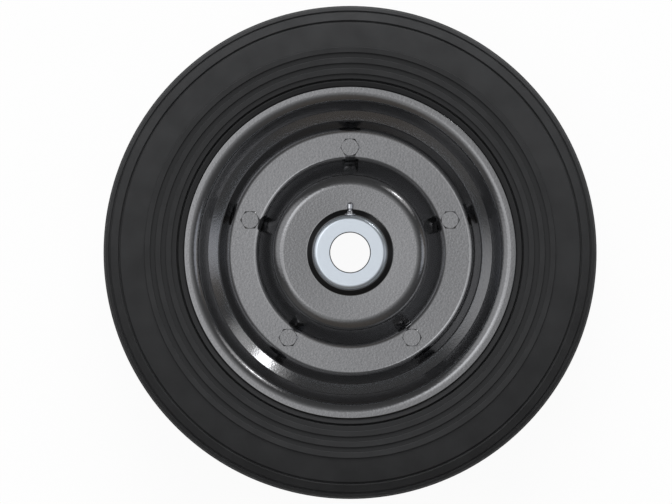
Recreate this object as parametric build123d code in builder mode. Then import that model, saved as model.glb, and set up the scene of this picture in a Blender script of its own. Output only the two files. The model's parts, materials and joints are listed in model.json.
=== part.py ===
"""Solid rubber tyred wheel: two pressed rim halves bolted together round a hub tube with a roller bearing."""

import os
from math import sqrt

from build123d import *

# All sizes are in millimetres. The axle lies along +Z, the bolt heads face +Z, and the grease nipple
# points along +Y. The origin is the centre of the wheel.

# Driving dimensions: hub
tube_wall = 5.38
hub_overhang = 14.7
cap_thickness = 4.0
cap_spigot_depth = 2.6
cap_spigot_wall = 3.5
cap_edge_radius = 3.6
cap_bore_play = 0.1
cap_bore_chamfer = 0.5
tube_chamfer = 0.4

# Driving dimensions: roller bearing
axle_radius = 15.0
axle_play = 0.07
race_play = 0.05
roller_radius = 4.0
roller_count = 10
roller_chamfer = 0.5
pocket_play = 0.08
pocket_end_play = 0.3
cage_end_play = 0.5
cage_end_ring = 4.5
cage_half_wall = 2.0

# Driving dimensions: pressed rim halves, from the hub out. Widths are radial, and each height or drop is
# the rise or fall across its width.
sheet = 3.0
dome_height = 27.3
dome_flat_width = 28.2
dome_dish = 0.5
dome_wall_width = 14.15
ring_width = 22.2
step_height = 14.5
step_width = 7.15
cone_height = 6.3
cone_width = 8.25
crest_height = 14.9
crest_width = 9.45
flange_drop = 1.5
flange_width = 8.4
flange_edge_radius = 1.0
dome_bend = 10.0
ring_inner_bend = 4.3
ring_outer_bend = 4.5
step_bend = 5.0
cone_bend = 3.0
crest_bend = 7.0
collar_height = 5.0
collar_foot = 4.7
collar_tip = 0.4
collar_foot_fillet = 2.5
weld_size = 3.0

# Driving dimensions: tyre
tyre_height = 60.9
tyre_width = 80.0
tyre_base_gap = 4.75
seam_gap = 0.3
lip_drop = 0.8
lip_rise = 1.9
lip_width = 3.8
gutter_depth = 2.3
gutter_width = 0.7
gutter_side = 0.6
rib_pitch = 8.1
rib_width = 4.0
rib_height = 1.0
rib_side = 0.4
rib_count = 3
first_rib_offset = 11.5
wall_drop = 5.4
wall_bulge = 0.6
line_width = 1.4
line_depth = 0.35
facet_width = 6.1
facet_drop = 4.7
shoulder_width = 2.2
shoulder_drop = 4.0
shoulder_bulge = 0.7
crown_drop = 1.4
groove_width = 3.0
groove_depth = 2.5
groove_pitch = 13.0
groove_count = 3

# Driving dimensions: bolts, nuts and spring washers, size M8
bolt_count = 5
bolt_inset = 9.15
bolt_radius = 4.0
bolt_hole_play = 0.5
bolt_length = 20.0
bolt_end_chamfer = 0.8
hex_flats = 13.0
hex_top_share = 0.95
head_height = 5.3
washer_face_radius = 5.5
washer_face_height = 0.4
nut_height = 6.5
washer_thickness = 2.0
washer_outer_radius = 6.35
washer_hole_play = 0.1
washer_split = 1.0

# Driving dimensions: grease nipple
nipple_gap = 0.5
nipple_seat_depth = 0.4
nipple_seat_radius = 4.2
nipple_thread_radius = 3.0
nipple_thread_length = 4.0
nipple_flats = 7.0
nipple_hex_height = 1.4
nipple_cone_radius = 2.6
nipple_cone_height = 2.4
nipple_neck_radius = 1.35
nipple_neck_height = 0.9
nipple_head_radius = 2.1
nipple_head_height = 4.8
nipple_head_chamfer = 0.6
nipple_channel_radius = 0.9
nipple_inlet_radius = 0.6
nipple_mouth_radius = 0.65
nipple_mouth_depth = 0.5
ball_radius = 0.8
spring_wire_radius = 0.14
spring_play = 0.06
spring_turns = 5

# Worked out from the driving dimensions
race_radius = axle_radius + axle_play + 2 * roller_radius + race_play
pitch_radius = axle_radius + axle_play + roller_radius
tube_radius = race_radius + tube_wall
cap_bore_radius = axle_radius + cap_bore_play
dome_edge_radius = tube_radius + dome_flat_width
ring_inner_radius = dome_edge_radius + dome_wall_width
ring_outer_radius = ring_inner_radius + ring_width
step_radius = ring_outer_radius + step_width
cone_radius = step_radius + cone_width
crest_radius = cone_radius + crest_width
flange_radius = crest_radius + flange_width
bolt_circle_radius = ring_inner_radius + bolt_inset
tyre_base_radius = ring_outer_radius + tyre_base_gap
dome_z = sheet + dome_height
collar_z = dome_z + collar_height
collar_foot_z = dome_z - dome_dish * (1 - collar_foot / dome_flat_width)
hub_half = collar_z + hub_overhang
tube_half = hub_half - cap_thickness
cage_half = tube_half - cap_spigot_depth - cage_end_play
roller_half = cage_half - cage_end_ring - pocket_end_play
side_z = tyre_width / 2
up = Plane.XZ

os.makedirs("parts", exist_ok=True)


def save(piece, name):
    """Label a finished piece and write it as its own file."""
    piece.label = name
    export_step(piece, f"parts/{name}.step")


def hex_corner(flats):
    """Distance from a hexagon's centre to its corners."""
    return flats / sqrt(3)


# Rim face: corner points (radius, height) of the side that shows, from the hub out to the flange's edge.
step_z = sheet + step_height
cone_z = step_z + cone_height
crest_z = cone_z + crest_height
flange_z = crest_z - flange_drop
face_points = [
    (tube_radius, dome_z - dome_dish),
    (dome_edge_radius, dome_z),
    (ring_inner_radius, sheet),
    (ring_outer_radius, sheet),
    (step_radius, step_z),
    (cone_radius, cone_z),
    (crest_radius, crest_z),
    (flange_radius, flange_z),
]
face_bends = [dome_bend, ring_inner_bend, ring_outer_bend, step_bend, cone_bend, crest_bend]

with BuildSketch(up) as rim_section:
    with BuildLine():
        FilletPolyline(*face_points, radius=face_bends)
        offset(amount=sheet, side=Side.RIGHT)
    make_face()
    with BuildLine():
        Polyline(
            (tube_radius, dome_z - sheet / 2),
            (tube_radius, collar_z),
            (tube_radius + collar_tip, collar_z),
            (tube_radius + collar_foot, collar_foot_z),
            (tube_radius + collar_foot, dome_z - sheet / 2),
            close=True,
        )
    make_face()

with BuildPart() as rim_front:
    add(rim_section.sketch)
    revolve(axis=Axis.Z)
    foot = rim_front.edges().filter_by(GeomType.CIRCLE).filter_by(
        lambda edge: abs(edge.radius - tube_radius - collar_foot) < 0.01
    )
    fillet(foot, radius=collar_foot_fillet)
    flange_edge = rim_front.edges().filter_by(GeomType.CIRCLE).filter_by(
        lambda edge: abs(edge.radius - flange_radius) < 0.01
    )
    fillet(flange_edge, radius=flange_edge_radius)
    with PolarLocations(bolt_circle_radius, bolt_count, start_angle=90):
        Hole(radius=bolt_radius + bolt_hole_play)
save(rim_front.part, "rim_front")

with BuildPart() as rim_rear:
    add(mirror(rim_front.part, about=Plane.XY, mode=Mode.PRIVATE))
save(rim_rear.part, "rim_rear")

# Weld ring in the corner between the rear collar and the tube.
with BuildPart() as hub_weld:
    with BuildSketch(up):
        with BuildLine():
            Polyline(
                (tube_radius, weld_size / 2 - collar_z),
                (tube_radius + weld_size, weld_size / 2 - collar_z),
                (tube_radius, -weld_size - collar_z),
                close=True,
            )
        make_face()
    revolve(axis=Axis.Z)
    add(rim_rear.part, mode=Mode.SUBTRACT)
save(hub_weld.part, "hub_weld")

# Tyre: one half of its section, from the rim's flange out over the side to the crown, then mirrored. A rubber
# lip rises beside the flange, and a narrow gutter parts it from the side.
lip_radius = flange_radius + seam_gap
lip_start_z = flange_z - lip_drop
lip_peak_radius = lip_radius + lip_width
lip_peak_z = lip_start_z + lip_rise
gutter_radius = lip_peak_radius + gutter_side
gutter_z = lip_peak_z - gutter_depth
seat_z = flange_z - sheet - seam_gap
wheel_radius = lip_radius + tyre_height
tread_edge_radius = wheel_radius - crown_drop
shoulder_start = tread_edge_radius - shoulder_width
facet_end = shoulder_start - line_width
facet_start = facet_end - facet_width
wall_end_radius = facet_start - line_width
rib_radii = [lip_radius + first_rib_offset + i * rib_pitch for i in range(rib_count)]
wall_z = side_z - rib_height
wall_end_z = wall_z - wall_drop
facet_end_z = wall_end_z - facet_drop
tread_edge_z = facet_end_z - shoulder_drop
far_z = 2 * side_z


def rib_outline(radius):
    """Four corners of one raised ring on the side of the tyre."""
    half = rib_width / 2
    return [
        (radius - half - rib_side, wall_z),
        (radius - half, side_z),
        (radius + half, side_z),
        (radius + half + rib_side, wall_z),
    ]


with BuildSketch(up) as tyre_section:
    # The side and the tread.
    with BuildLine():
        rib_start = (gutter_radius + gutter_width + gutter_side, wall_z)
        Polyline(
            (wheel_radius, 0),
            (lip_radius, 0),
            (lip_radius, lip_start_z),
            (lip_peak_radius, lip_peak_z),
            (gutter_radius, gutter_z),
            (gutter_radius + gutter_width, gutter_z),
            rib_start,
        )
        for rib_radius in rib_radii:
            Polyline(rib_start, *rib_outline(rib_radius))
            rib_start = rib_outline(rib_radius)[-1]
        ThreePointArc(
            rib_start,
            ((rib_start[0] + wall_end_radius) / 2, wall_z - wall_drop / 2 + wall_bulge),
            (wall_end_radius, wall_end_z),
        )
        Polyline(
            (wall_end_radius, wall_end_z),
            (wall_end_radius + line_width / 2, wall_end_z - line_depth),
            (facet_start, wall_end_z),
            (facet_end, facet_end_z),
            (facet_end + line_width / 2, facet_end_z - line_depth),
            (shoulder_start, facet_end_z),
        )
        ThreePointArc(
            (shoulder_start, facet_end_z),
            (tread_edge_radius - shoulder_bulge, facet_end_z - shoulder_drop / 2),
            (tread_edge_radius, tread_edge_z),
        )
        ThreePointArc(
            (tread_edge_radius, tread_edge_z),
            (wheel_radius - crown_drop / 4, tread_edge_z / 2),
            (wheel_radius, 0),
        )
    make_face()
    # The base between the rim halves, up to the inside of the rim's crest and flange.
    with BuildLine():
        Polyline(
            (tyre_base_radius, 0),
            (lip_radius, 0),
            (lip_radius, seat_z),
            (flange_radius - sheet / 2, seat_z),
            (flange_radius - sheet / 2, far_z),
            (tyre_base_radius, far_z),
            close=True,
        )
    make_face()
    # Everything that the front half of the rim fills or covers.
    with BuildLine():
        FilletPolyline(*face_points, radius=face_bends)
        Polyline(face_points[-1], (flange_radius, far_z), (tube_radius, far_z), face_points[0])
    make_face(mode=Mode.SUBTRACT)
    add(rim_section.sketch_local, mode=Mode.SUBTRACT)
    mirror(about=Plane.XZ)
    with GridLocations(1, groove_pitch, 1, groove_count):
        with Locations((wheel_radius, 0)):
            Rectangle(2 * groove_depth, groove_width, mode=Mode.SUBTRACT)

with BuildPart() as tyre:
    add(tyre_section.sketch)
    revolve(axis=Axis.Z)
save(tyre.part, "tyre")

# Hub tube with the tapped hole and the flat seat of the grease nipple.
nipple_z = collar_z + nipple_gap + nipple_seat_radius
seat_y = tube_radius - nipple_seat_depth

with BuildPart() as hub_tube:
    with BuildSketch(up):
        with Locations(((race_radius + tube_radius) / 2, 0)):
            Rectangle(tube_radius - race_radius, 2 * tube_half)
    revolve(axis=Axis.Z)
    rims = hub_tube.edges().filter_by(GeomType.CIRCLE).filter_by(lambda edge: edge.radius < tube_radius)
    chamfer(rims, length=tube_chamfer)
    with Locations(Plane(origin=(0, seat_y, nipple_z), z_dir=(0, 1, 0))):
        Cylinder(
            radius=nipple_seat_radius,
            height=nipple_seat_depth + 1,
            align=(Align.CENTER, Align.CENTER, Align.MIN),
            mode=Mode.SUBTRACT,
        )
        Cylinder(
            radius=nipple_thread_radius,
            height=tube_radius - race_radius + 1,
            align=(Align.CENTER, Align.CENTER, Align.MAX),
            mode=Mode.SUBTRACT,
        )
save(hub_tube.part, "hub_tube")

# End cap: a turned washer that closes the tube and carries the axle hole, on a short spigot.
spigot_inner = race_radius - cap_spigot_wall

with BuildPart() as end_cap_front:
    with BuildSketch(up):
        with BuildLine():
            Polyline(
                (cap_bore_radius, tube_half),
                (spigot_inner, tube_half),
                (spigot_inner, tube_half - cap_spigot_depth),
                (race_radius, tube_half - cap_spigot_depth),
                (race_radius, tube_half),
                (tube_radius, tube_half),
                (tube_radius, tube_half + cap_thickness),
                (cap_bore_radius, tube_half + cap_thickness),
                close=True,
            )
        make_face()
    revolve(axis=Axis.Z)
    face_edges = end_cap_front.faces().sort_by(Axis.Z)[-1].edges().sort_by(SortBy.RADIUS)
    fillet(face_edges[-1], radius=cap_edge_radius)
    chamfer(face_edges[0], length=cap_bore_chamfer)
save(end_cap_front.part, "end_cap_front")

with BuildPart() as end_cap_rear:
    add(mirror(end_cap_front.part, about=Plane.XY, mode=Mode.PRIVATE))
save(end_cap_rear.part, "end_cap_rear")

# Roller bearing: a one-piece cage whose pockets hold the rollers by a little more than half.
with BuildPart() as roller_cage:
    with BuildSketch():
        Circle(pitch_radius + cage_half_wall)
        Circle(pitch_radius - cage_half_wall, mode=Mode.SUBTRACT)
    extrude(amount=cage_half, both=True)
    with PolarLocations(pitch_radius, roller_count, start_angle=90):
        Cylinder(roller_radius + pocket_play, 2 * (roller_half + pocket_end_play), mode=Mode.SUBTRACT)
save(roller_cage.part, "roller_cage")

with BuildPart() as roller:
    Cylinder(roller_radius, 2 * roller_half)
    chamfer(roller.edges().filter_by(GeomType.CIRCLE), length=roller_chamfer)

for number, place in enumerate(PolarLocations(pitch_radius, roller_count, start_angle=90), start=1):
    save(place * roller.part, f"roller_{number:02d}")

# Wheel bolts: a washer face under a chamfered hexagon head, all heads turned the same way.
head_z = sheet + washer_face_height
top_flat = hex_top_share * hex_flats / 2
top_slope = (hex_corner(hex_flats) - top_flat) / sqrt(3)


def hex_envelope(low, high, both_ends):
    """Section, for revolving, of the chamfers that round off a hexagon's corners."""
    corner = hex_corner(hex_flats)
    points = [(0, high), (top_flat, high), (corner, high - top_slope)]
    if both_ends:
        points += [(corner, low + top_slope), (top_flat, low), (0, low)]
    else:
        points += [(corner, low), (0, low)]
    return points


with BuildPart() as bolt:
    with BuildSketch(Plane.XY.offset(head_z)):
        RegularPolygon(hex_flats / 2, 6, major_radius=False)
    extrude(amount=head_height - washer_face_height)
    with BuildSketch(up):
        with BuildLine():
            Polyline(*hex_envelope(head_z, sheet + head_height, both_ends=False), close=True)
        make_face()
    revolve(axis=Axis.Z, mode=Mode.INTERSECT)
    with BuildSketch(Plane.XY.offset(sheet)):
        Circle(washer_face_radius)
    extrude(amount=washer_face_height)
    with BuildSketch(Plane.XY.offset(sheet)):
        Circle(bolt_radius)
    extrude(amount=-bolt_length)
    chamfer(bolt.faces().sort_by(Axis.Z)[0].edges(), length=bolt_end_chamfer)

with BuildPart() as wheel_bolts:
    with PolarLocations(bolt_circle_radius, bolt_count, start_angle=90, rotate=False):
        add(bolt.part)
save(wheel_bolts.part, "wheel_bolts")

# Spring washers, each split and with its two ends a little apart.
with BuildPart() as lock_washer:
    with BuildSketch(Plane.XY.offset(-sheet)):
        Circle(washer_outer_radius)
        Circle(bolt_radius + washer_hole_play, mode=Mode.SUBTRACT)
        with Locations((washer_outer_radius, 0)):
            Rectangle(2 * washer_outer_radius, washer_split, mode=Mode.SUBTRACT)
    extrude(amount=-washer_thickness)

with BuildPart() as lock_washers:
    with PolarLocations(bolt_circle_radius, bolt_count, start_angle=90):
        add(lock_washer.part)
save(lock_washers.part, "lock_washers")

nut_top = -sheet - washer_thickness

with BuildPart() as nut:
    with BuildSketch(Plane.XY.offset(nut_top)):
        RegularPolygon(hex_flats / 2, 6, major_radius=False)
        Circle(bolt_radius, mode=Mode.SUBTRACT)
    extrude(amount=-nut_height)
    with BuildSketch(up):
        with BuildLine():
            Polyline(*hex_envelope(nut_top - nut_height, nut_top, both_ends=True), close=True)
        make_face()
    revolve(axis=Axis.Z, mode=Mode.INTERSECT)

with BuildPart() as wheel_nuts:
    with PolarLocations(bolt_circle_radius, bolt_count, start_angle=90, rotate=False):
        add(nut.part)
save(wheel_nuts.part, "wheel_nuts")

# Grease nipple: turned about +Y, drilled through, with a ball that a spring holds against its mouth.
seat = Location((0, seat_y, nipple_z))
cone_top = nipple_hex_height + nipple_cone_height
neck_top = cone_top + nipple_neck_height
head_top = neck_top + nipple_head_height
mouth = head_top - nipple_mouth_depth
ball_centre = mouth - sqrt(ball_radius**2 - nipple_mouth_radius**2)
spring_floor = nipple_hex_height
spring_radius = nipple_channel_radius - spring_play - spring_wire_radius
spring_top = ball_centre - ball_radius


def turned(*points):
    """Polygon of (radius, height above the seat) points in the plane that the nipple is turned from."""
    return Polyline(*points, close=True)


with BuildPart() as nipple_body:
    with BuildSketch(Plane.XY):
        with BuildLine():
            turned(
                (0, -nipple_thread_length),
                (nipple_thread_radius, -nipple_thread_length),
                (nipple_thread_radius, 0),
                (nipple_cone_radius, 0),
                (nipple_cone_radius, nipple_hex_height),
                (nipple_neck_radius, cone_top),
                (nipple_neck_radius, neck_top),
                (nipple_head_radius - nipple_head_chamfer / 2, neck_top),
                (nipple_head_radius, neck_top + nipple_head_chamfer / 2),
                (nipple_head_radius, head_top - nipple_head_chamfer),
                (nipple_head_radius - nipple_head_chamfer, head_top),
                (0, head_top),
            )
        make_face()
    revolve(axis=Axis.Y)
    with BuildSketch(Plane.XZ):
        RegularPolygon(nipple_flats / 2, 6, major_radius=False)
    extrude(amount=-nipple_hex_height)
    with BuildSketch(Plane.XY):
        with BuildLine():
            turned(
                (0, -nipple_thread_length),
                (nipple_inlet_radius, -nipple_thread_length),
                (nipple_inlet_radius, spring_floor),
                (nipple_channel_radius, spring_floor),
                (nipple_channel_radius, mouth),
                (nipple_mouth_radius, mouth),
                (nipple_mouth_radius, head_top),
                (0, head_top),
            )
        make_face()
    revolve(axis=Axis.Y, mode=Mode.SUBTRACT)
save(seat * nipple_body.part, "nipple_body")

with BuildPart(Plane(origin=(0, ball_centre, 0))) as nipple_ball:
    Sphere(ball_radius)
save(seat * nipple_ball.part, "nipple_ball")

with BuildPart() as nipple_spring:
    coil_height = spring_top - spring_floor - 2 * spring_wire_radius
    with BuildLine() as coil:
        Helix(
            pitch=coil_height / spring_turns,
            height=coil_height,
            radius=spring_radius,
            center=(0, spring_floor + spring_wire_radius, 0),
            direction=(0, 1, 0),
        )
    with BuildSketch(Plane(origin=coil.line @ 0, z_dir=coil.line % 0)):
        Circle(spring_wire_radius)
    sweep(is_frenet=True)
save(seat * nipple_spring.part, "nipple_spring")
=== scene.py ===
"""Solid rubber tyred wheel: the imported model, dressed with modelled pieces and finishes."""

import json
from math import cos, pi, radians, sin, sqrt, tan

import bpy
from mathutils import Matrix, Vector


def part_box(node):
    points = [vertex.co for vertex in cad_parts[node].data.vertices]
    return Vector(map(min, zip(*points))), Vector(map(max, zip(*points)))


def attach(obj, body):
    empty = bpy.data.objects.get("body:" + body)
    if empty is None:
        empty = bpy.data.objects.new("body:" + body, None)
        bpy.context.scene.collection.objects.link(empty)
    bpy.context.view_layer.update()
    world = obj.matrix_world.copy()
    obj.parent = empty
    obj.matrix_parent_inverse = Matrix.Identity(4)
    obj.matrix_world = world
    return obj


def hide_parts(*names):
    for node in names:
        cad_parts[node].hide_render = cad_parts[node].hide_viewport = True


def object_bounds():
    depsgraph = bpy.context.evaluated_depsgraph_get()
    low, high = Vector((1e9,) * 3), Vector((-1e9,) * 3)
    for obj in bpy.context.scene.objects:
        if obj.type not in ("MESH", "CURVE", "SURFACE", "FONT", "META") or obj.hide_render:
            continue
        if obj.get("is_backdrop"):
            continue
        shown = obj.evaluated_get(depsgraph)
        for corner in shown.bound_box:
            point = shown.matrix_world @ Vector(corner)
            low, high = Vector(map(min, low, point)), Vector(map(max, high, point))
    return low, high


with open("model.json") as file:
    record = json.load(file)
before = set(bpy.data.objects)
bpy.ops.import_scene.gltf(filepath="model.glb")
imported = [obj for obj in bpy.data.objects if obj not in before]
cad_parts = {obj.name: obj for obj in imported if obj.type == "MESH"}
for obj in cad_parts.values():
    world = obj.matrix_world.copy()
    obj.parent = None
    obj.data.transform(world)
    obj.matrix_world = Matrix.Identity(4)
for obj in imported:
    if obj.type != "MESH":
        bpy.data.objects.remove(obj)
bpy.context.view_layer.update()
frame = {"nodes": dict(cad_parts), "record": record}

bl_info = {
    "name": "Solid tyred wheel",
    "version": (1, 0, 0),
    "blender": (4, 5, 0),
    "location": "View3D > Sidebar > Wheel",
    "description": "Builds the visible pieces of a solid rubber tyred wheel",
    "category": "Object",
}

# Lengths are in millimetres here and in every section, and in metres in the finishes. Heights are
# measured from the wheel's middle plane. A section is a list of (radius, height, bend) corners.
MM = 0.001
SAME_PLACE = 0.001 * MM  # vertices this near each other are one
SHEET = 3.0
# The rim's collar, with radii from the hub tube's, and the rest of its painted side.
COLLAR = [(0.0, 35.3, 0.0), (0.5, 35.3, 0.3), (4.2, 29.88, 0.9)]
DOME_HEIGHT = 29.8
RIM_FACE = [
    (56.7, 30.3, 10.0),
    (70.85, 3.25, 4.3),
    (93.35, 3.0, 4.2),
    (99.85, 18.3, 3.2),
    (108.2, 23.7, 2.0),
    (117.2, 38.75, 9.2),
    (126.3, 38.4, 0.0),
]

TYRE_TOE = 97.8
SEAM = 0.3  # between the rim's edge and the tyre's lip
# Lip and gutter, with radii from the seam's.
LIP = [(0.0, 37.0, 0.4), (3.9, 38.5, 0.5), (4.5, 35.7, 0.3), (5.2, 35.7, 0.3)]
GUTTER_END = 5.6
RIB_MIDDLES = (138.1, 146.2, 154.3)
RIB_TOP, RIB_FOOT = 2.0, 2.15  # half widths
RIB_HEIGHT = 1.0
SHOULDER = [
    (165.9, 37.4, 78.0),
    (174.6, 33.75, 0.3),
    (175.4, 31.9, 0.3),
    (175.9, 31.9, 0.3),
    (176.7, 33.4, 0.4),
    (182.0, 29.3, 0.4),
    (182.8, 27.2, 0.3),
    (183.3, 27.2, 0.3),
    (184.1, 28.2, 0.4),
    (186.1, 24.9, 2.5),
]
TREAD_EDGE, TREAD_DROP = 24.9, 1.4
GROOVE_FLOOR = 185.0
OUTER_GROOVE = (11.5, 14.5)
MIDDLE_GROOVE = 1.5

AXLE_BORE = 15.1
CAP_SPIGOT = (19.62, 23.12)
CAP_ROUND = 3.6

BOLT_CIRCLE = 80.0
BOLT_COUNT = 5
BOLT_HOLE = 4.5
BOLT_RADIUS = 4.0
BOLT_FLATS = 13.0
FLAT_SHARE = 0.962  # the round face on a bolt head or nut, against its flats
SMALL_STEPS = 48  # round the bolts and nuts
NIPPLE_FLATS = 7.0
NIPPLE_LENGTH = 9.5  # from its seat on the hub to its tip

FLOOR_SIZE = 16
VIEW_PLACE = (-0.01071, 0.00034, 1.2)
VIEW_WIDTH = 0.51096
# The room's level at heights in the sky, from 0 at the horizon to 1 overhead.
SKY = [(0.0, 0.11), (0.5, 0.13), (0.77, 0.17), (0.88, 0.27), (0.95, 0.43), (0.985, 0.58)]
# Soft panels in the sky: azimuth, angle from overhead, inner and outer radius in degrees, colour.
PANELS = [
    (280, 18, 9, 23, (0.68, 0.68, 0.69)),
    (315, 24, 4, 14, (0.85, 0.86, 0.88)),
    (286, 50, 12, 32, (0.62, 0.62, 0.63)),
    (217, 30, 4, 22, (0.28, 0.28, 0.28)),
    (225, 68, 3, 26, (0.07, 0.065, 0.06)),
    (43, 65, 4, 18, (0.85, 0.84, 0.83)),
    (39, 66, 1, 4.3, (9.0, 9.0, 9.1)),
    (92, 59, 4, 16, (0.56, 0.59, 0.65)),
    (84, 71, 3, 19, (0.11, 0.09, 0.07)),
    (180, 62, 5, 38, (0.04, 0.025, 0.01)),
]


class WheelSizes(bpy.types.PropertyGroup):
    """Sizes of the modelled pieces."""

    rim_steps: bpy.props.IntProperty(
        name="Rim steps",
        description="Steps round each rim half and end cap",
        default=180,
        min=24,
    )
    tyre_steps: bpy.props.IntProperty(
        name="Tyre steps",
        description="Steps round the tyre",
        default=216,
        min=24,
    )
    cut_edge: bpy.props.FloatProperty(
        name="Cut edge",
        description="Rounding of the rim's cut edges",
        subtype="DISTANCE",
        default=0.0006,
    )
    rib_softness: bpy.props.FloatProperty(
        name="Rib softness",
        description="Rounding of the raised rings on the tyre's sides",
        subtype="DISTANCE",
        default=0.0002,
    )
    thread_pitch: bpy.props.FloatProperty(
        name="Thread pitch",
        description="Pitch of the wheel bolts' thread",
        subtype="DISTANCE",
        default=0.00125,
    )
    thread_depth: bpy.props.FloatProperty(
        name="Thread depth",
        description="Depth of the wheel bolts' thread",
        subtype="DISTANCE",
        default=0.00066,
    )
    weld_ripples: bpy.props.IntProperty(
        name="Weld ripples",
        description="Ripples round the hub weld",
        default=96,
        min=12,
    )
    weld_ripple_height: bpy.props.FloatProperty(
        name="Weld ripple height",
        description="Height of the ripples on the hub weld",
        subtype="DISTANCE",
        default=0.0003,
    )


class WheelColours(bpy.types.PropertyGroup):
    """Colours of the finishes."""

    paint: bpy.props.FloatVectorProperty(
        name="Rim paint",
        description="Silver grey powder coat of the rim halves, bolts, nuts and washers",
        subtype="COLOR",
        default=(0.262, 0.264, 0.27),
    )
    rubber: bpy.props.FloatVectorProperty(
        name="Tyre rubber",
        description="Black of the moulded tyre",
        subtype="COLOR",
        default=(0.034, 0.0345, 0.0355),
    )
    cap: bpy.props.FloatVectorProperty(
        name="Cap zinc",
        description="Bluish zinc plate of the two end caps",
        subtype="COLOR",
        default=(0.77, 0.84, 0.91),
    )
    nipple: bpy.props.FloatVectorProperty(
        name="Nipple zinc",
        description="Bright zinc plate of the grease nipple",
        subtype="COLOR",
        default=(0.72, 0.74, 0.78),
    )
    steel: bpy.props.FloatVectorProperty(
        name="Bearing steel",
        description="Ground steel of the rollers, ball and spring",
        subtype="COLOR",
        default=(0.56, 0.56, 0.57),
    )
    nylon: bpy.props.FloatVectorProperty(
        name="Cage nylon",
        description="Natural nylon of the roller cage",
        subtype="COLOR",
        default=(0.62, 0.58, 0.47),
    )
    floor: bpy.props.FloatVectorProperty(
        name="Floor",
        description="Pale studio floor",
        subtype="COLOR",
        default=(0.92, 0.92, 0.92),
    )


class NodeMaker:
    """The empty node tree of a material or world, with short calls to fill it."""

    def __init__(self, owner):
        owner.use_nodes = True
        self.tree = owner.node_tree
        self.tree.nodes.clear()

    def add(self, kind, **settings):
        node = self.tree.nodes.new(kind)
        for key, value in settings.items():
            setattr(node, key, value)
        return node

    def link(self, source, target):
        self.tree.links.new(source, target)


class MaterialMaker(NodeMaker):
    """A material under construction, with the node groups that the finishes share."""

    def __init__(self, name):
        self.material = bpy.data.materials.new(name)
        super().__init__(self.material)
        self.output = self.add("ShaderNodeOutputMaterial")
        self.coords = self.add("ShaderNodeTexCoord").outputs["Object"]

    def shader(self, colour, metallic, roughness, specular=0.5):
        """The finish's own shader, joined to the output."""
        self.bsdf = self.add("ShaderNodeBsdfPrincipled")
        self.bsdf.inputs["Base Color"].default_value = (*colour, 1)
        self.bsdf.inputs["Metallic"].default_value = metallic
        self.bsdf.inputs["Roughness"].default_value = roughness
        self.bsdf.inputs["Specular IOR Level"].default_value = specular
        self.link(self.bsdf.outputs[0], self.output.inputs["Surface"])
        return self

    def noise(self, size, detail=2.0, stretch=(1, 1, 1)):
        """Noise whose lumps are about size metres across."""
        place = self.add("ShaderNodeMapping")
        place.inputs["Scale"].default_value = stretch
        self.link(self.coords, place.inputs["Vector"])
        noise = self.add("ShaderNodeTexNoise")
        noise.inputs["Scale"].default_value = 1 / size
        noise.inputs["Detail"].default_value = detail
        self.link(place.outputs[0], noise.inputs["Vector"])
        return noise.outputs["Fac"]

    def spread(self, value, low, high, to_low, to_high):
        """The value moved from one range to another, clamped."""
        node = self.add("ShaderNodeMapRange")
        node.inputs["From Min"].default_value = low
        node.inputs["From Max"].default_value = high
        node.inputs["To Min"].default_value = to_low
        node.inputs["To Max"].default_value = to_high
        self.link(value, node.inputs["Value"])
        return node.outputs["Result"]

    def blend(self, factor, first, second):
        """Two colours mixed by a factor. Either may also be the result of an earlier blend."""
        node = self.add("ShaderNodeMix", data_type="RGBA")
        for side, colour in (("A", first), ("B", second)):
            if isinstance(colour, bpy.types.NodeSocket):
                self.link(colour, node.inputs[side])
            else:
                node.inputs[side].default_value = (*colour, 1)
        self.link(factor, node.inputs["Factor"])
        return node.outputs["Result"]

    def from_axle(self):
        """Distance from the axle, in metres."""
        flat = self.add("ShaderNodeVectorMath", operation="MULTIPLY")
        flat.inputs[1].default_value = (1, 1, 0)
        self.link(self.coords, flat.inputs[0])
        length = self.add("ShaderNodeVectorMath", operation="LENGTH")
        self.link(flat.outputs["Vector"], length.inputs[0])
        return length.outputs["Value"]

    def off_middle(self):
        """Distance from the wheel's middle plane, in metres."""
        parts = self.add("ShaderNodeSeparateXYZ")
        self.link(self.coords, parts.inputs[0])
        size = self.add("ShaderNodeMath", operation="ABSOLUTE")
        self.link(parts.outputs["Z"], size.inputs[0])
        return size.outputs[0]

    def either(self, first, second):
        """The larger of two values."""
        node = self.add("ShaderNodeMath", operation="MAXIMUM")
        self.link(first, node.inputs[0])
        self.link(second, node.inputs[1])
        return node.outputs[0]

    def colour(self, socket):
        """Takes the shader's colour from a socket."""
        self.link(socket, self.bsdf.inputs["Base Color"])

    def bump(self, height, distance):
        """Relief of the given depth, in metres."""
        node = self.add("ShaderNodeBump")
        node.inputs["Distance"].default_value = distance
        self.link(height, node.inputs["Height"])
        self.link(node.outputs[0], self.bsdf.inputs["Normal"])


def shade_of(colour, share):
    """A colour made lighter or darker by a share."""
    return tuple(min(1.0, channel * share) for channel in colour)


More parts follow.
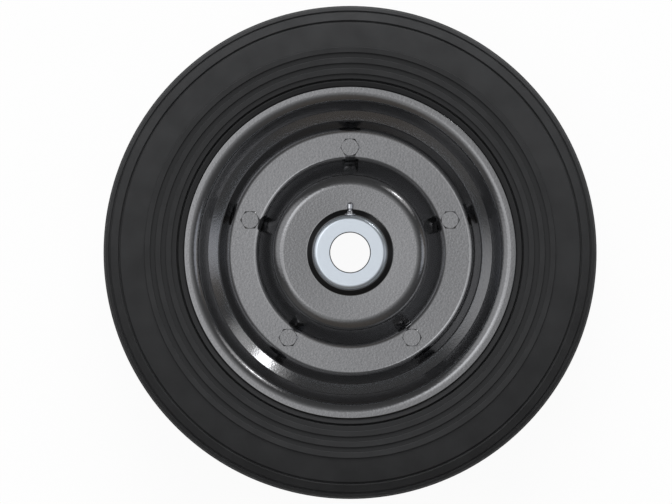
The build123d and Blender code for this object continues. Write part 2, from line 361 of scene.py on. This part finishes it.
def powder_coat(colour):
    """Silver grey powder coat with a fine orange peel, and painted shade, dark and rougher, on
    the hub's collar.
    """
    smooth_coat, painted_shade_roughness = 0.13, 0.42
    maker = MaterialMaker("powder_coat").shader(colour, metallic=1.0, roughness=smooth_coat)
    flake = maker.spread(maker.noise(0.0012), 0.35, 0.65, 0, 1)
    coat = maker.blend(flake, shade_of(colour, 0.93), shade_of(colour, 1.07))
    # Painted shade: the hub's collar, between these radii and heights, is darkened to three
    # tenths of the coat and made rougher.
    outside = maker.spread(maker.from_axle(), 0.0324, 0.033, 0, 1)
    height = maker.off_middle()
    below = maker.spread(height, 0.0290, 0.0296, 1, 0)
    above = maker.spread(height, 0.0352, 0.0356, 0, 1)
    free_of_painted_shade = maker.either(outside, maker.either(below, above))
    maker.colour(maker.blend(free_of_painted_shade, shade_of(colour, 0.3), coat))
    roughness = maker.spread(free_of_painted_shade, 0, 1, painted_shade_roughness, smooth_coat)
    maker.link(roughness, maker.bsdf.inputs["Roughness"])
    maker.bump(maker.noise(0.0017), distance=0.00006)
    return maker.material


def moulded_rubber(colour):
    """Black rubber as it leaves the mould, with painted shade: a little darker in the valleys
    between the raised rings, lighter and mottled on the ring tops and the plain side.
    """
    maker = MaterialMaker("moulded_rubber")
    maker.shader(colour, metallic=0.0, roughness=0.85, specular=0.12)
    bloom = maker.spread(maker.noise(0.02, detail=4), 0.3, 0.7, 0, 1)
    # Painted shade: the valleys between the raised rings stay a little darker than the ring tops
    # and the plain side, which are also lighter in mottled patches.
    raised = maker.spread(maker.off_middle(), 0.0392, 0.0398, 0, 1)
    plain_side = maker.spread(maker.from_axle(), 0.1566, 0.1572, 0, 1)
    mottled_unshaded = maker.blend(bloom, colour, shade_of(colour, 1.25))
    out_of_valley_shade = maker.either(raised, plain_side)
    maker.colour(maker.blend(out_of_valley_shade, shade_of(colour, 0.98), mottled_unshaded))
    maker.bump(maker.noise(0.0011, detail=3), distance=0.00002)
    return maker.material


def zinc_plate(name, colour, roughness):
    """Zinc plate over turned steel, with painted shade darkening it where it meets the axle."""
    maker = MaterialMaker(name).shader(colour, metallic=1.0, roughness=roughness)
    # Painted shade: the bore, inside these radii, is darkened to about an eighth of the plate's
    # colour.
    free_of_painted_shade = maker.spread(maker.from_axle(), 0.0157, 0.0159, 0, 1)
    maker.colour(maker.blend(free_of_painted_shade, shade_of(colour, 0.12), colour))
    maker.bump(maker.noise(0.0009), distance=0.000004)
    return maker.material


def ground_steel(colour):
    """Ground steel, with its grinding lines round the roller."""
    maker = MaterialMaker("ground_steel").shader(colour, metallic=1.0, roughness=0.22)
    maker.bump(maker.noise(0.002, stretch=(1, 1, 12)), distance=0.000003)
    return maker.material


def nylon(colour):
    """Natural nylon, a little cloudy."""
    maker = MaterialMaker("natural_nylon").shader(colour, metallic=0.0, roughness=0.42)
    cloud = maker.spread(maker.noise(0.006), 0.3, 0.7, 0, 1)
    maker.colour(maker.blend(cloud, colour, shade_of(colour, 0.9)))
    return maker.material


def finish(piece, material):
    """Gives every slot of a piece the same finish."""
    if not piece.data.materials:
        piece.data.materials.append(material)
    for slot in piece.material_slots:
        slot.material = material


def pick(piece, chosen):
    """Opens edit mode with only the chosen vertices of a piece selected."""
    bpy.ops.object.mode_set(mode="EDIT")
    bpy.ops.mesh.select_mode(type="VERT")
    bpy.ops.mesh.select_all(action="DESELECT")
    bpy.ops.object.mode_set(mode="OBJECT")
    for vertex in piece.data.vertices:
        vertex.select = chosen(vertex.co)
    bpy.ops.object.mode_set(mode="EDIT")


def only(piece):
    """Leaves one piece selected and active, in object mode."""
    if bpy.context.mode != "OBJECT":
        bpy.ops.object.mode_set(mode="OBJECT")
    bpy.ops.object.select_all(action="DESELECT")
    piece.select_set(True)
    bpy.context.view_layer.objects.active = piece


def apply_place(piece):
    """Puts a piece's place, turn and scale into its mesh."""
    only(piece)
    bpy.ops.object.transform_apply(location=True, rotation=True, scale=True)


def draw_profile(name, corners, closed=True, facet=7):
    """Draws a section through its corners, and rounds them in facets of about so many degrees."""
    if bpy.context.mode != "OBJECT":
        bpy.ops.object.mode_set(mode="OBJECT")
    bpy.ops.object.select_all(action="DESELECT")
    bpy.ops.mesh.primitive_plane_add(size=MM, enter_editmode=True)
    piece = bpy.context.active_object
    piece.name = name
    places = [Vector((radius, 0, height)) * MM for radius, height, _ in corners]
    bpy.ops.mesh.merge(type="CENTER")
    bpy.ops.transform.translate(value=places[0])
    route = places[1:] + places[:1] if closed else places[1:]
    here = places[0]
    for place in route:
        bpy.ops.mesh.extrude_vertices_move(TRANSFORM_OT_translate={"value": place - here})
        here = place
    bpy.ops.mesh.select_all(action="SELECT")
    bpy.ops.mesh.remove_doubles(threshold=SAME_PLACE)
    bpy.ops.object.mode_set(mode="OBJECT")
    for index, (_, _, bend) in enumerate(corners):
        if bend == 0:
            continue
        place = places[index]
        before = (place - places[index - 1]).normalized()
        after = (places[(index + 1) % len(places)] - place).normalized()
        turn = before.angle(after)
        pick(piece, lambda co, place=place: (co - place).length < 2 * SAME_PLACE)
        bpy.ops.mesh.bevel(
            offset_type="OFFSET",
            offset=bend * MM * tan(turn / 2),
            segments=max(2, round(turn / radians(facet))),
            affect="VERTICES",
        )
        bpy.ops.object.mode_set(mode="OBJECT")
    return piece


def spin_round(piece, steps, angle=360):
    """Turns a drawn section round the wheel's axle."""
    bpy.ops.object.mode_set(mode="EDIT")
    bpy.ops.mesh.select_all(action="SELECT")
    bpy.ops.mesh.spin(steps=steps, angle=radians(angle), center=(0, 0, 0), axis=(0, 0, 1))
    bpy.ops.mesh.select_all(action="SELECT")
    bpy.ops.mesh.remove_doubles(threshold=SAME_PLACE)
    bpy.ops.mesh.normals_make_consistent(inside=False)
    bpy.ops.object.mode_set(mode="OBJECT")
    return piece


def turned(name, corners, steps, facet=7):
    """A closed turned piece from its section, which may start and end on the axle."""
    section = draw_profile(name, corners, closed=corners[0][0] > 0, facet=facet)
    return spin_round(section, steps)


def smooth(piece, angle=35):
    """Smooth shading that keeps corners sharp and flat stretches flat."""
    only(piece)
    bpy.ops.object.shade_smooth_by_angle(angle=radians(angle))
    even = piece.modifiers.new("even", "WEIGHTED_NORMAL")
    even.keep_sharp = True
    bpy.ops.object.modifier_apply(modifier=even.name)


def carve(piece, tool, operation="DIFFERENCE"):
    """Cuts a piece with a tool, or keeps or joins what they share, and clears the tool away."""
    only(piece)
    cut = piece.modifiers.new("cut", "BOOLEAN")
    cut.operation = operation
    cut.solver = "EXACT"
    cut.object = tool
    bpy.ops.object.modifier_apply(modifier=cut.name)
    bpy.data.objects.remove(tool)
    return piece


def soften(piece, width, segments=2, angle=30):
    """Rounds the sharp edges of a piece."""
    only(piece)
    rounded = piece.modifiers.new("rounded", "BEVEL")
    rounded.width = width
    rounded.segments = segments
    rounded.limit_method = "ANGLE"
    rounded.angle_limit = radians(angle)
    bpy.ops.object.modifier_apply(modifier=rounded.name)


def duplicate(piece):
    """A copy of a piece, with a mesh of its own."""
    only(piece)
    bpy.ops.object.duplicate(linked=False)
    return bpy.context.active_object


def mirrored(piece, name):
    """The same piece for the other side of the wheel."""
    copy = duplicate(piece)
    copy.name = name
    bpy.ops.object.mode_set(mode="EDIT")
    bpy.ops.mesh.select_all(action="SELECT")
    bpy.ops.transform.mirror(constraint_axis=(False, False, True), center_override=(0, 0, 0))
    bpy.ops.mesh.normals_make_consistent(inside=False)
    bpy.ops.object.mode_set(mode="OBJECT")
    return copy


def join(pieces, name):
    """Joins separate shells into one piece."""
    only(pieces[0])
    for piece in pieces:
        piece.select_set(True)
    bpy.ops.object.join()
    pieces[0].name = name
    return pieces[0]


def bolt_angles():
    """Angles of the bolts round the wheel, from +X."""
    return [radians(90 + 360 / BOLT_COUNT * number) for number in range(BOLT_COUNT)]


def bolt_place(angle):
    """Where a bolt's line crosses the wheel's middle plane."""
    return Vector((cos(angle), sin(angle), 0)) * BOLT_CIRCLE * MM


def set_at_bolts(piece, name, facing_out=False):
    """One piece made of copies at every bolt, which may be turned to face outward."""
    copies = []
    for angle in bolt_angles():
        copy = duplicate(piece)
        copy.location = bolt_place(angle)
        if facing_out:
            copy.rotation_euler[2] = angle
        apply_place(copy)
        copies.append(copy)
    bpy.data.objects.remove(piece)
    return join(copies, name)


def hexagon(flats, low, high):
    """A hexagonal bar between two heights, with corners to the left and right."""
    bpy.ops.object.select_all(action="DESELECT")
    bpy.ops.mesh.primitive_cylinder_add(
        vertices=6,
        radius=flats / sqrt(3) * MM,
        depth=(high - low) * MM,
        location=(0, 0, (low + high) / 2 * MM),
    )
    bar = bpy.context.active_object
    bar.rotation_euler[2] = radians(30)
    apply_place(bar)
    return bar


def dress(piece, node):
    """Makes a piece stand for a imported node, and gives it the node's body and finish."""
    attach(piece, "wheel")
    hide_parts(node)
    finish(piece, frame["nodes"][node].data.materials[0])


def inner_side(face):
    """Corners of the sheet's other side, one thickness in from its painted side."""
    places = [Vector(corner[:2]) for corner in face]
    runs = [(end - start).normalized() for start, end in zip(places, places[1:])]
    inner = []
    for index, (place, (_, _, bend)) in enumerate(zip(places, face)):
        along = runs[max(index - 1, 0) : index + 1]
        inward = [Vector((run.y, -run.x)) for run in along]
        middle = sum(inward, Vector((0, 0))).normalized()
        shift = middle * (SHEET / middle.dot(inward[0]))
        bulges = len(along) == 2 and along[0].cross(along[1]) < 0
        inner_bend = max(bend - SHEET, 0.0) if bulges else bend + SHEET
        inner.append((*(place + shift), inner_bend if bend else 0.0))
    return inner


class WHEEL_OT_rims(bpy.types.Operator):
    """Builds the two pressed rim halves"""

    bl_idname = "wheel.rims"
    bl_label = "Rim halves"

    def execute(self, context):
        sizes = context.scene.wheel_sizes
        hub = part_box("hub_tube")[1].x / MM
        edge = sizes.cut_edge / MM
        collar = [(hub + radius, height, bend) for radius, height, bend in COLLAR]
        hidden = inner_side([(hub, DOME_HEIGHT, 0.0), *RIM_FACE])
        hidden[0] = (hub, hidden[0][1], 0.0)
        face = [*RIM_FACE[:-1], (*RIM_FACE[-1][:2], edge)]
        back = [(*hidden[-1][:2], edge), *reversed(hidden[:-1])]
        front = turned("rim_half_front", [*collar, *face, *back], sizes.rim_steps)
        for angle in bolt_angles():
            bpy.ops.object.select_all(action="DESELECT")
            bpy.ops.mesh.primitive_cylinder_add(
                vertices=SMALL_STEPS,
                radius=BOLT_HOLE * MM,
                depth=4 * SHEET * MM,
                location=bolt_place(angle),
            )
            drill = context.active_object
            apply_place(drill)
            carve(front, drill)
        rear = mirrored(front, "rim_half_rear")
        for piece, node in ((front, "rim_front"), (rear, "rim_rear")):
            smooth(piece)
            dress(piece, node)
        return {"FINISHED"}


class WHEEL_OT_tyre(bpy.types.Operator):
    """Builds the moulded solid tyre"""

    bl_idname = "wheel.tyre"
    bl_label = "Tyre"

    def execute(self, context):
        sizes = context.scene.wheel_sizes
        soft = sizes.rib_softness / MM
        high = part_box("tyre")[1]
        crown, side = high.y / MM, high.z / MM
        wall = side - RIB_HEIGHT
        lip = RIM_FACE[-1][0] + SEAM
        seat = [corner for corner in inner_side(RIM_FACE) if corner[0] > TYRE_TOE]
        front = [
            (TYRE_TOE, SHEET, 0.0),
            *seat,
            (lip, seat[-1][1] - 0.2, 0.3),
            *((lip + radius, height, bend) for radius, height, bend in LIP),
            (lip + GUTTER_END, wall, 0.3),
        ]
        for middle in RIB_MIDDLES:
            front += [
                (middle - RIB_FOOT, wall, soft),
                (middle - RIB_TOP, side, soft),
                (middle + RIB_TOP, side, soft),
                (middle + RIB_FOOT, wall, soft),
            ]
        groove_low, groove_high = OUTER_GROOVE
        front += [
            *SHOULDER,
            (self.tread(crown, groove_high), groove_high, 0.35),
            (GROOVE_FLOOR, groove_high, 0.5),
            (GROOVE_FLOOR, groove_low, 0.5),
            (self.tread(crown, groove_low), groove_low, 0.35),
            (crown, MIDDLE_GROOVE, 0.35),
            (GROOVE_FLOOR, MIDDLE_GROOVE, 0.5),
        ]
        rear = [(radius, -height, bend) for radius, height, bend in reversed(front)]
        tyre = turned("moulded_tyre", front + rear, sizes.tyre_steps, facet=22)
        smooth(tyre, 50)
        dress(tyre, "tyre")
        return {"FINISHED"}

    def tread(self, crown, height):
        """Radius of the crowned tread at a height."""
        return crown - TREAD_DROP * (height / TREAD_EDGE) ** 2


class WHEEL_OT_caps(bpy.types.Operator):
    """Builds the turned end caps"""

    bl_idname = "wheel.caps"
    bl_label = "End caps"

    def execute(self, context):
        low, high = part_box("end_cap_front")
        hub, top, foot = high.x / MM, high.z / MM, low.z / MM
        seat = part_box("hub_tube")[1].z / MM
        spigot_in, spigot_out = CAP_SPIGOT
        corners = [
            (AXLE_BORE, top - 0.6, 0.15),
            (AXLE_BORE + 0.65, top, 0.15),
            (hub, top, CAP_ROUND),
            (hub, seat, 0.15),
            (spigot_out, seat, 0.0),
            (spigot_out, foot, 0.3),
            (spigot_in, foot, 0.3),
            (spigot_in, seat, 0.4),
            (AXLE_BORE, seat, 0.3),
        ]
        front = turned("turned_cap_front", corners, context.scene.wheel_sizes.rim_steps)
        rear = mirrored(front, "turned_cap_rear")
        for piece, node in ((front, "end_cap_front"), (rear, "end_cap_rear")):
            smooth(piece)
            dress(piece, node)
        return {"FINISHED"}


def hex_blank(low, high, both_ends):
    """Turned blank whose slopes round off a hexagon's corners."""
    corner = BOLT_FLATS / sqrt(3)
    flat = FLAT_SHARE * BOLT_FLATS / 2
    far = corner + 2
    fall = (far - flat) / sqrt(3)
    top = [(0, high, 0), (flat, high, 0.3), (far, high - fall, 0)]
    if both_ends:
        bottom = [(far, low + fall, 0), (flat, low, 0.3), (0, low, 0)]
    else:
        foot = low - (corner - flat) / sqrt(3)
        bottom = [(far, foot, 0), (0, foot, 0)]
    return turned("blank", top + bottom, SMALL_STEPS)


class WHEEL_OT_bolts(bpy.types.Operator):
    """Builds the wheel bolts with their threads"""

    bl_idname = "wheel.bolts"
    bl_label = "Wheel bolts"

    def execute(self, context):
        low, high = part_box("wheel_bolts")
        top, tip = high.z / MM, low.z / MM
        under = SHEET + 0.4
        head = carve(hexagon(BOLT_FLATS, under, top), hex_blank(under, top, False), "INTERSECT")
        soften(head, 0.00015, angle=25)
        collar_and_shank = [
            (0, SHEET + 0.6, 0),
            (5.5, SHEET + 0.6, 0),
            (5.5, SHEET, 0.15),
            (3.95, SHEET, 0),
            (3.95, -4.0, 0.2),
            (3.3, -4.6, 0),
            (0, -4.6, 0),
        ]
        shank = turned("shank", collar_and_shank, SMALL_STEPS)
        thread = self.thread(context.scene.wheel_sizes, tip)
        bolt = join([head, shank, thread], "bolt")
        smooth(bolt, 30)
        dress(set_at_bolts(bolt, "bolt_set"), "wheel_bolts")
        return {"FINISHED"}

    def thread(self, sizes, tip):
        """The threaded end of one bolt, from just inside the nut to its chamfered tip."""
        pitch, depth = sizes.thread_pitch / MM, sizes.thread_depth / MM
        crest, root = BOLT_RADIUS, BOLT_RADIUS - depth
        start = tip - 2.01 * pitch
        shape = [
            (crest, start, 0),
            (crest, start + 0.12 * pitch, 0),
            (root, start + 0.5 * pitch, 0),
            (root, start + 0.62 * pitch, 0),
            (crest, start + pitch, 0),
        ]
        thread = draw_profile("thread", shape, closed=False)
        only(thread)
        winding = thread.modifiers.new("winding", "SCREW")
        winding.angle = radians(360)
        winding.screw_offset = pitch * MM
        winding.iterations = 14
        winding.steps = 32
        winding.render_steps = 32
        winding.use_merge_vertices = True
        winding.merge_threshold = SAME_PLACE
        bpy.ops.object.modifier_apply(modifier=winding.name)
        bpy.ops.object.mode_set(mode="EDIT")
        bpy.ops.mesh.select_all(action="SELECT")
        bpy.ops.mesh.remove_doubles(threshold=SAME_PLACE)
        bpy.ops.mesh.fill_holes(sides=0)
        bpy.ops.mesh.select_all(action="SELECT")
        bpy.ops.mesh.normals_make_consistent(inside=False)
        bpy.ops.object.mode_set(mode="OBJECT")
        envelope = [
            (0, -4.3, 0),
            (BOLT_RADIUS + 0.5, -4.3, 0),
            (BOLT_RADIUS + 0.5, tip + 1.0, 0),
            (3.2, tip, 0),
            (0, tip, 0),
        ]
        return carve(thread, turned("tip", envelope, SMALL_STEPS), "INTERSECT")


class WHEEL_OT_nuts(bpy.types.Operator):
    """Builds the nuts and the split spring washers"""

    bl_idname = "wheel.nuts"
    bl_label = "Nuts and washers"

    def execute(self, context):
        low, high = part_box("wheel_nuts")
        top, foot = high.z / MM, low.z / MM
        nut = carve(hexagon(BOLT_FLATS, foot, top), hex_blank(foot, top, True), "INTERSECT")
        bore = [
            (0, top + 1, 0),
            (5.0, top + 1, 0),
            (4.02, top - 0.3, 0),
            (4.02, foot + 0.3, 0),
            (5.0, foot - 1, 0),
            (0, foot - 1, 0),
        ]
        carve(nut, turned("bore", bore, SMALL_STEPS))
        soften(nut, 0.0002, angle=25)
        smooth(nut, 30)
        dress(set_at_bolts(nut, "nut_set"), "wheel_nuts")
        washers = set_at_bolts(self.washer(), "washer_set", facing_out=True)
        dress(washers, "lock_washers")
        return {"FINISHED"}

    def washer(self):
        """One spring washer, with its gap on the side that faces outward."""
        low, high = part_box("lock_washers")
        top, foot = high.z / MM, low.z / MM
        bore, rim = 4.1, 6.35
        corners = [(bore, foot, 0.2), (rim, foot, 0.25), (rim, top, 0.25), (bore, top, 0.2)]
        section = draw_profile("washer", corners)
        section.rotation_euler[2] = radians(6)
        apply_place(section)
        washer = spin_round(section, 60, angle=348)
        bpy.ops.object.mode_set(mode="EDIT")
        bpy.ops.mesh.select_mode(type="VERT")
        bpy.ops.mesh.select_all(action="DESELECT")
        bpy.ops.mesh.select_non_manifold()
        bpy.ops.mesh.edge_face_add()
        bpy.ops.mesh.select_all(action="SELECT")
        bpy.ops.mesh.normals_make_consistent(inside=False)
        bpy.ops.object.mode_set(mode="OBJECT")
        smooth(washer, 40)
        return washer


class WHEEL_OT_weld(bpy.types.Operator):
    """Builds the rippled weld between the hub tube and the rear rim half"""

    bl_idname = "wheel.weld"
    bl_label = "Hub weld"

    def execute(self, context):
        sizes = context.scene.wheel_sizes
        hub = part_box("hub_tube")[1].x / MM
        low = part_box("hub_weld")[0].z / MM
        corners = [
            (hub - 0.2, low, 0),
            (hub + 1.4, low + 0.9, 0.8),
            (hub + 2.9, low + 3.2, 0.8),
            (hub + 2.6, low + 4.6, 0),
            (hub - 0.2, low + 4.6, 0),
        ]
        weld = turned("weld_bead", corners, 2 * sizes.weld_ripples)
        step = pi / sizes.weld_ripples

        def on_crest(co):
            return round(co.to_2d().angle_signed(Vector((1, 0))) / step) % 2 == 0

        pick(weld, on_crest)
        bpy.ops.transform.shrink_fatten(value=sizes.weld_ripple_height)
        bpy.ops.object.mode_set(mode="OBJECT")
        only(weld)
        rounded = weld.modifiers.new("rounded", "SUBSURF")
        rounded.levels = rounded.render_levels = 1
        bpy.ops.object.modifier_apply(modifier=rounded.name)
        bpy.ops.object.shade_smooth_by_angle(angle=radians(60))
        dress(weld, "hub_weld")
        return {"FINISHED"}


class WHEEL_OT_nipple(bpy.types.Operator):
    """Builds the grease nipple"""

    bl_idname = "wheel.nipple"
    bl_label = "Grease nipple"

    def execute(self, context):
        low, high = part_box("nipple_body")
        seat = high.y / MM - NIPPLE_LENGTH
        height = (low.z + high.z) / 2 / MM
        body = [
            (0, -4.0, 0),
            (2.7, -4.0, 0),
            (3.0, -3.7, 0),
            (3.0, 0, 0),
            (2.6, 0, 0),
            (2.6, 1.4, 0),
            (2.1, 2.9, 1.2),
            (1.5, 3.7, 0.5),
            (1.5, 4.6, 0.25),
            (2.1, 4.7, 0.2),
            (2.4, 5.3, 0.5),
            (2.4, 8.7, 0.7),
            (1.5, NIPPLE_LENGTH, 0.3),
            (0.65, NIPPLE_LENGTH, 0.1),
            (0.65, 9.0, 0),
            (0.9, 9.0, 0),
            (0.9, 1.4, 0),
            (0.6, 1.4, 0),
            (0.6, -3.0, 0),
            (0, -3.0, 0),
        ]
        nipple = turned("grease_nipple", body, 40)
        base = hexagon(NIPPLE_FLATS, 0, 1.4)
        soften(base, 0.0003)
        carve(nipple, base, "UNION")
        only(nipple)
        nipple.rotation_euler[0] = radians(-90)
        nipple.location = (0, seat * MM, height * MM)
        apply_place(nipple)
        smooth(nipple, 32)
        dress(nipple, "nipple_body")
        return {"FINISHED"}


class WHEEL_OT_stage(bpy.types.Operator):
    """Sets the floor, the light and the camera"""

    bl_idname = "wheel.stage"
    bl_label = "Stage"

    def execute(self, context):
        studio_floor(context.scene.wheel_colours.floor)
        studio_light(context.scene)
        soft_key()
        bpy.ops.object.camera_add(location=VIEW_PLACE, rotation=(0, 0, 0))
        camera = context.active_object
        camera.name = "camera"
        camera.data.type = "ORTHO"
        camera.data.ortho_scale = VIEW_WIDTH
        context.scene.camera = camera
        context.scene.view_settings.view_transform = "Standard"
        return {"FINISHED"}


def studio_floor(colour):
    """A pale floor under the wheel, seen as nearly white and still shaded by the wheel."""
    bpy.ops.mesh.primitive_plane_add(size=FLOOR_SIZE, location=(0, 0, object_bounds()[0][2]))
    floor = bpy.context.active_object
    floor.name = "floor"
    apply_place(floor)
    maker = MaterialMaker("studio_floor")
    plain = maker.add("ShaderNodeBsdfDiffuse")
    plain.inputs["Color"].default_value = (*colour, 1)
    glow = maker.add("ShaderNodeEmission")
    path = maker.add("ShaderNodeLightPath")
    seen = path.outputs["Is Camera Ray"]
    for ray in ("Is Glossy Ray", "Is Transmission Ray"):
        either = maker.add("ShaderNodeMath", operation="ADD", use_clamp=True)
        maker.link(seen, either.inputs[0])
        maker.link(path.outputs[ray], either.inputs[1])
        seen = either.outputs[0]
    share = maker.add("ShaderNodeMath", operation="MULTIPLY")
    share.inputs[1].default_value = 0.95
    maker.link(seen, share.inputs[0])
    both = maker.add("ShaderNodeMixShader")
    maker.link(share.outputs[0], both.inputs["Fac"])
    maker.link(plain.outputs[0], both.inputs[1])
    maker.link(glow.outputs[0], both.inputs[2])
    maker.link(both.outputs[0], maker.output.inputs["Surface"])
    finish(floor, maker.material)
    floor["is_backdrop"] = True


def toward(azimuth, zenith):
    """Unit vector at an azimuth, clockwise from +Y, and an angle from overhead, in degrees."""
    turn, tip = radians(azimuth), radians(zenith)
    return (sin(turn) * sin(tip), cos(turn) * sin(tip), cos(tip))


def studio_light(scene):
    """A dim room with soft panels overhead and a few low ones, which the camera sees as white."""
    world = bpy.data.worlds.new("studio")
    scene.world = world
    maker = NodeMaker(world)
    direction = maker.add("ShaderNodeTexCoord").outputs["Generated"]
    height = maker.add("ShaderNodeSeparateXYZ")
    maker.link(direction, height.inputs[0])
    ramp = maker.add("ShaderNodeValToRGB")
    maker.link(height.outputs["Z"], ramp.inputs["Fac"])
    elements = ramp.color_ramp.elements
    while len(elements) < len(SKY):
        elements.new(0.5)
    for element, (place, level) in zip(elements, SKY):
        element.position = place
        element.color = (level, level, level * 1.01, 1)
    total = ramp.outputs["Color"]
    for azimuth, zenith, inner, outer, colour in PANELS:
        facing = maker.add("ShaderNodeVectorMath", operation="DOT_PRODUCT")
        maker.link(direction, facing.inputs[0])
        facing.inputs[1].default_value = toward(azimuth, zenith)
        edge = maker.add("ShaderNodeMapRange", interpolation_type="SMOOTHSTEP")
        edge.inputs["From Min"].default_value = cos(radians(outer))
        edge.inputs["From Max"].default_value = cos(radians(inner))
        maker.link(facing.outputs["Value"], edge.inputs["Value"])
        lit = maker.add("ShaderNodeVectorMath", operation="SCALE")
        lit.inputs[0].default_value = colour
        maker.link(edge.outputs["Result"], lit.inputs["Scale"])
        added = maker.add("ShaderNodeVectorMath", operation="ADD")
        maker.link(total, added.inputs[0])
        maker.link(lit.outputs["Vector"], added.inputs[1])
        total = added.outputs["Vector"]
    room = maker.add("ShaderNodeBackground")
    maker.link(total, room.inputs["Color"])
    white = maker.add("ShaderNodeBackground")
    white.inputs["Color"].default_value = (1, 1, 1, 1)
    path = maker.add("ShaderNodeLightPath")
    shown = maker.add("ShaderNodeMixShader")
    maker.link(path.outputs["Is Camera Ray"], shown.inputs["Fac"])
    maker.link(room.outputs[0], shown.inputs[1])
    maker.link(white.outputs[0], shown.inputs[2])
    output = maker.add("ShaderNodeOutputWorld")
    maker.link(shown.outputs[0], output.inputs["Surface"])


def soft_key():
    """A soft lamp from the nipple's side, which shades the rubber and leaves the paint alone."""
    bpy.ops.object.light_add(type="SUN", location=(0, 2, 1), rotation=(radians(-64), 0, 0))
    key = bpy.context.active_object
    key.name = "soft_key"
    key.data.energy = 3.1
    key.data.angle = radians(50)
    key.visible_glossy = False


class WHEEL_OT_finishes(bpy.types.Operator):
    """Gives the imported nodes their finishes"""

    bl_idname = "wheel.finishes"
    bl_label = "Finishes"

    def execute(self, context):
        colours = context.scene.wheel_colours
        by_slot = {
            "tyre": moulded_rubber(colours.rubber),
            "rim_paint": powder_coat(colours.paint),
            "cap_zinc": zinc_plate("cap_zinc", colours.cap, 0.3),
            "nipple_zinc": zinc_plate("nipple_zinc", colours.nipple, 0.2),
            "bearing_steel": ground_steel(colours.steel),
            "cage_plastic": nylon(colours.nylon),
        }
        by_slot["hub_steel"] = by_slot["rim_paint"]  # the hub tube is painted with the rim
        for part in frame["record"]["subparts"]:
            finish(frame["nodes"][part["node"]], by_slot[part["material_slot"]])
        return {"FINISHED"}


class WHEEL_PT_panel(bpy.types.Panel):
    """Lists the pieces, the sizes and the colours"""

    bl_label = "Wheel"
    bl_space_type = "VIEW_3D"
    bl_region_type = "UI"
    bl_category = "Wheel"

    def draw(self, context):
        for operator in OPERATORS:
            self.layout.operator(operator.bl_idname)
        for group in (context.scene.wheel_sizes, context.scene.wheel_colours):
            for name in group.__annotations__:
                self.layout.prop(group, name)


OPERATORS = (
    WHEEL_OT_finishes,
    WHEEL_OT_tyre,
    WHEEL_OT_rims,
    WHEEL_OT_weld,
    WHEEL_OT_caps,
    WHEEL_OT_bolts,
    WHEEL_OT_nuts,
    WHEEL_OT_nipple,
    WHEEL_OT_stage,
)
CLASSES = (WheelSizes, WheelColours, *OPERATORS, WHEEL_PT_panel)


def register():
    for cls in CLASSES:
        bpy.utils.register_class(cls)
    bpy.types.Scene.wheel_sizes = bpy.props.PointerProperty(type=WheelSizes)
    bpy.types.Scene.wheel_colours = bpy.props.PointerProperty(type=WheelColours)


def unregister():
    del bpy.types.Scene.wheel_colours
    del bpy.types.Scene.wheel_sizes
    for cls in reversed(CLASSES):
        bpy.utils.unregister_class(cls)


def main():
    register()
    bpy.ops.object.select_all(action="DESELECT")
    bpy.ops.wheel.finishes()
    bpy.ops.wheel.tyre()
    bpy.ops.wheel.rims()
    bpy.ops.wheel.weld()
    bpy.ops.wheel.caps()
    bpy.ops.wheel.bolts()
    bpy.ops.wheel.nuts()
    bpy.ops.wheel.nipple()
    bpy.ops.wheel.stage()


if __name__ == "__main__":
    main()
